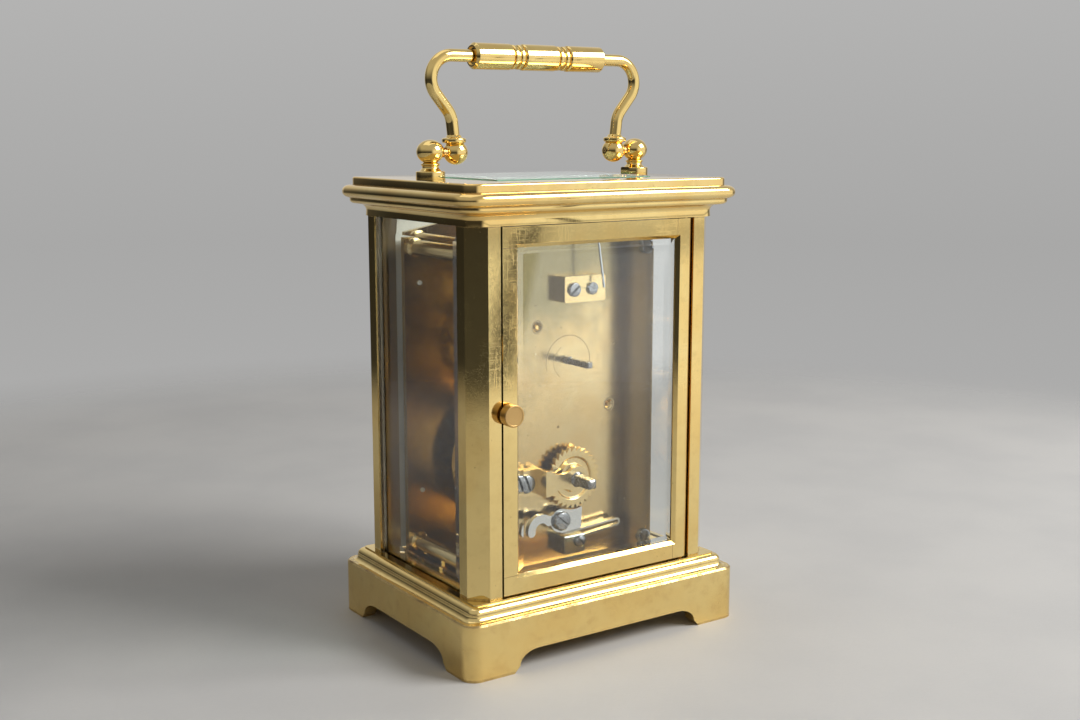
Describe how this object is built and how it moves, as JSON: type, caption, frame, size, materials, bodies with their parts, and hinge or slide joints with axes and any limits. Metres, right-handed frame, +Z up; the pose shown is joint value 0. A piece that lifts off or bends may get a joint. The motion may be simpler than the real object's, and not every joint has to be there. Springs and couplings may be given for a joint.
{
  "type": "carriage clock",
  "caption": "Glazed brass carriage clock with a folding handle, a hinged glass back door, and its spring-driven movement with a platform escapement.",
  "frame": {"origin": "centre of the footprint, on the surface that the feet stand on", "axes": "+Z up, +Y out of the back door, -Y out of the dial, +X to the side of the door's lock stile and knob"},
  "size_m": [0.0806, 0.0636, 0.145],
  "materials": {
    "case_brass": "polished, slightly aged lacquered brass",
    "plate_brass": "fine-brushed brass of the movement",
    "bright_steel": "polished steel",
    "dark_steel": "dark oxidised steel",
    "bevelled_glass": "clear bevelled plate glass",
    "dial_enamel": "white enamel",
    "hand_steel": "blued steel"
  },
  "bodies": {
    "case": {"base": "case_brass", "cornice": "case_brass", "post_rear_lock": "case_brass", "post_rear_hinge": "case_brass", "post_front_left": "case_brass", "post_front_right": "case_brass", "handle_posts": "case_brass", "dial_mask": "case_brass", "back_plate": "plate_brass", "front_plate": "plate_brass", "movement_pillars": "plate_brass", "contrate_cock": "plate_brass", "winding_bridge": "plate_brass", "platform_plate": "plate_brass", "escape_cock": "plate_brass", "balance_cock": "plate_brass", "click_spring": "plate_brass", "top_glass": "bevelled_glass", "side_glass_left": "bevelled_glass", "side_glass_right": "bevelled_glass", "front_glass": "bevelled_glass", "case_screws": "bright_steel", "handle_pivot_screws": "bright_steel", "click_spring_block": "bright_steel", "movement_screws": "bright_steel", "minute_stud": "bright_steel", "platform_screws": "bright_steel", "hairspring": "dark_steel", "dial": "dial_enamel"},
    "door": {"door_hinge_stile": "case_brass", "door_lock_stile": "case_brass", "door_bottom_rail": "case_brass", "door_top_rail": "case_brass", "door_glass": "bevelled_glass", "door_knob": "case_brass", "door_catch_spring": "bright_steel", "door_pivot_pins": "bright_steel"},
    "handle": {"handle_arm_left": "case_brass", "handle_arm_right": "case_brass", "handle_grip": "case_brass"},
    "winding_arbor": {"barrel_arbor": "dark_steel", "ratchet_wheel": "bright_steel", "mainspring": "dark_steel"},
    "click_lever": {"click": "bright_steel"},
    "barrel_drum": {"barrel": "plate_brass", "barrel_cap": "plate_brass"},
    "intermediate": {"intermediate_wheel": "plate_brass"},
    "centre": {"centre_wheel": "plate_brass"},
    "third": {"third_wheel": "plate_brass"},
    "contrate": {"contrate_wheel": "plate_brass"},
    "escape": {"escape_wheel": "bright_steel"},
    "lever": {"pallet_lever": "bright_steel"},
    "balance": {"balance_wheel": "plate_brass"},
    "index": {"regulator_index": "bright_steel"},
    "setting_arbor": {"centre_arbor": "dark_steel", "minute_hand": "hand_steel"},
    "minute_work": {"minute_wheel": "plate_brass"},
    "hour_work": {"hour_wheel": "plate_brass", "hour_hand": "hand_steel"}
  },
  "joints": [
    {"name": "handle_fold", "type": "hinge", "parent": "case", "child": "handle", "pos_m": [0, 0, 0.1192], "axis": [1, 0, 0], "range_deg": [-95, 95]},
    {"name": "door_swing", "type": "hinge", "parent": "case", "child": "door", "pos_m": [-0.0265, 0.0254, 0.06], "axis": [0, 0, 1], "range_deg": [0, 95]},
    {"name": "winding", "type": "hinge", "parent": "case", "child": "winding_arbor", "pos_m": [0, 0, 0.0393], "axis": [0, 1, 0], "range_deg": [0, 1980], "deforming": ["mainspring"]},
    {"name": "click_pivot", "type": "hinge", "parent": "case", "child": "click_lever", "pos_m": [0.0039, 0, 0.029], "axis": [0, -1, 0], "range_deg": [0, 9], "stiffness_Nm_per_rad": 0.02, "springref_deg": -11.46, "deforming": ["click_spring"]},
    {"name": "barrel_turn", "type": "hinge", "parent": "case", "child": "barrel_drum", "pos_m": [0, 0, 0.0393], "axis": [0, 1, 0], "continuous": true},
    {"name": "intermediate_turn", "type": "hinge", "parent": "case", "child": "intermediate", "pos_m": [-0.0131, 0, 0.056], "axis": [0, 1, 0], "continuous": true},
    {"name": "centre_turn", "type": "hinge", "parent": "case", "child": "centre", "pos_m": [0, 0, 0.0686], "axis": [0, 1, 0], "continuous": true},
    {"name": "third_turn", "type": "hinge", "parent": "case", "child": "third", "pos_m": [0.0088, 0, 0.0774], "axis": [0, 1, 0], "continuous": true},
    {"name": "contrate_turn", "type": "hinge", "parent": "case", "child": "contrate", "pos_m": [0, 0, 0.0864], "axis": [0, 1, 0], "continuous": true},
    {"name": "escape_turn", "type": "hinge", "parent": "case", "child": "escape", "pos_m": [0, -0.001, 0.1], "axis": [0, 0, 1], "continuous": true},
    {"name": "lever_swing", "type": "hinge", "parent": "case", "child": "lever", "pos_m": [-0.0046, -0.001, 0.1], "axis": [0, 0, 1], "range_deg": [-5, 5]},
    {"name": "balance_swing", "type": "hinge", "parent": "case", "child": "balance", "pos_m": [-0.0089, -0.001, 0.103], "axis": [0, 0, 1], "range_deg": [-270, 270], "stiffness_Nm_per_rad": 0.000004, "deforming": ["hairspring"]},
    {"name": "index_turn", "type": "hinge", "parent": "case", "child": "index", "pos_m": [-0.0089, -0.001, 0.107], "axis": [0, 0, 1], "range_deg": [-12, 12]},
    {"name": "set_hands", "type": "hinge", "parent": "case", "child": "setting_arbor", "pos_m": [0, 0, 0.0686], "axis": [0, 1, 0], "continuous": true},
    {"name": "minute_work_turn", "type": "hinge", "parent": "case", "child": "minute_work", "pos_m": [-0.00509, 0, 0.06351], "axis": [0, 1, 0], "continuous": true},
    {"name": "hour_work_turn", "type": "hinge", "parent": "case", "child": "hour_work", "pos_m": [0, 0, 0.0686], "axis": [0, 1, 0], "continuous": true}
  ],
  "couplings": [
    {"joint": "centre_turn", "follows": "third_turn", "ratio": -0.125},
    {"joint": "intermediate_turn", "follows": "third_turn", "ratio": 0.020833},
    {"joint": "barrel_turn", "follows": "third_turn", "ratio": -0.0034722},
    {"joint": "contrate_turn", "follows": "third_turn", "ratio": -7.5},
    {"joint": "escape_turn", "follows": "third_turn", "ratio": -75},
    {"joint": "minute_work_turn", "follows": "set_hands", "ratio": -0.33333},
    {"joint": "hour_work_turn", "follows": "set_hands", "ratio": 0.083333}
  ]
}
